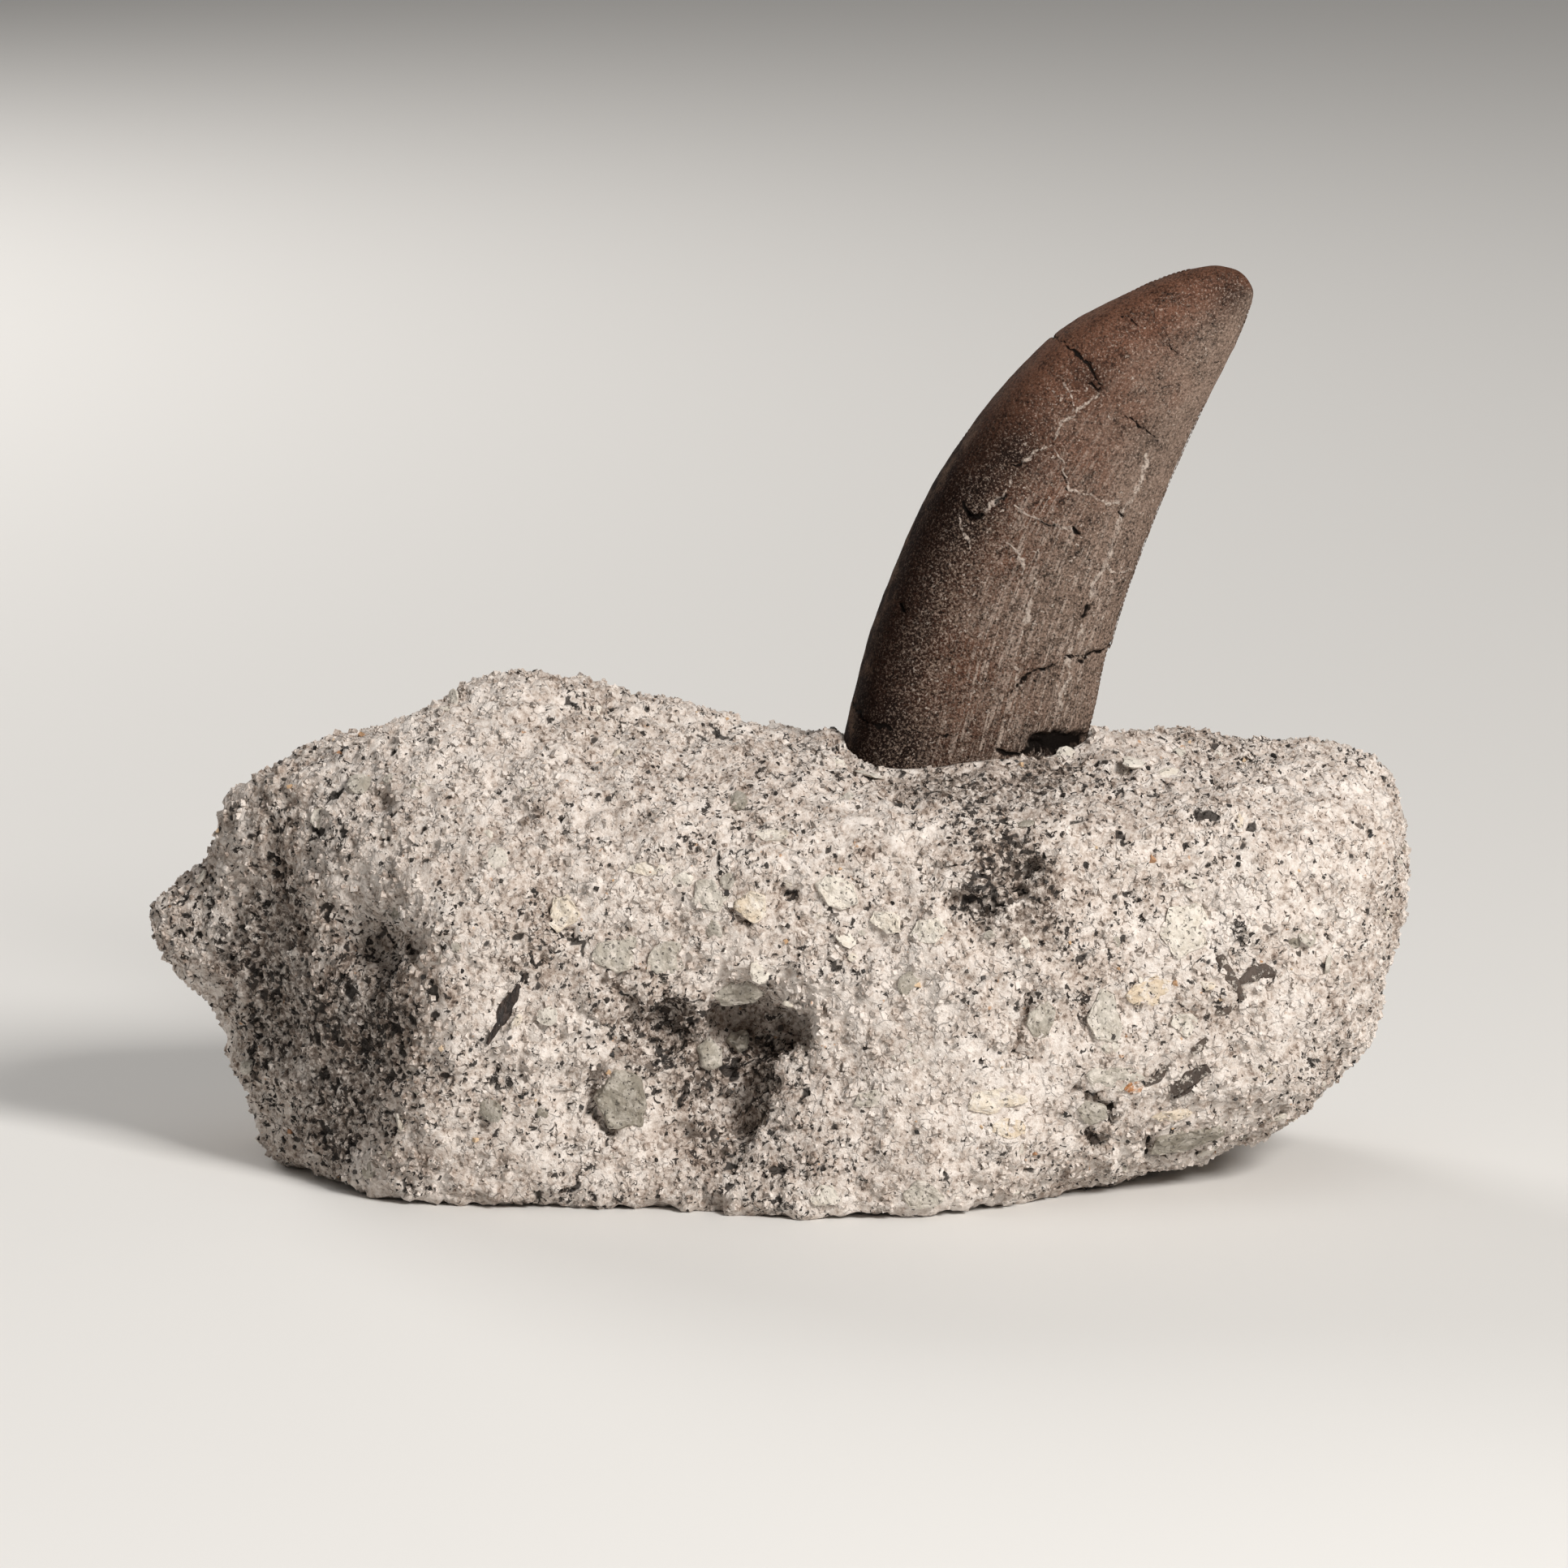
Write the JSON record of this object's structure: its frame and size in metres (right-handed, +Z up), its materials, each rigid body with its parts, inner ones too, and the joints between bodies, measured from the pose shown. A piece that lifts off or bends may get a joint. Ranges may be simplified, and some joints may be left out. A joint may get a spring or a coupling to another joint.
{
  "type": "fossil dinosaur tooth",
  "caption": "Curved, flattened, finely serrated dinosaur tooth crown standing with its root buried in a loose block of pebbly sandstone.",
  "frame": {"origin": "on the surface that the block rests on, below the middle of the whole specimen's bounding box", "axes": "+X along the block towards the side that the tooth's tip curves to, -Y the specimen's front, +Z up"},
  "size_m": [0.1716, 0.08, 0.1243],
  "materials": {
    "sandstone": "coarse, matt, pebbly sandstone with cream, grey and dark grains",
    "fossil_enamel": "brown mineralised enamel, satin, cracked and finely striated"
  },
  "bodies": {
    "root": {"matrix": "sandstone", "tooth": "fossil_enamel"}
  },
  "joints": []
}
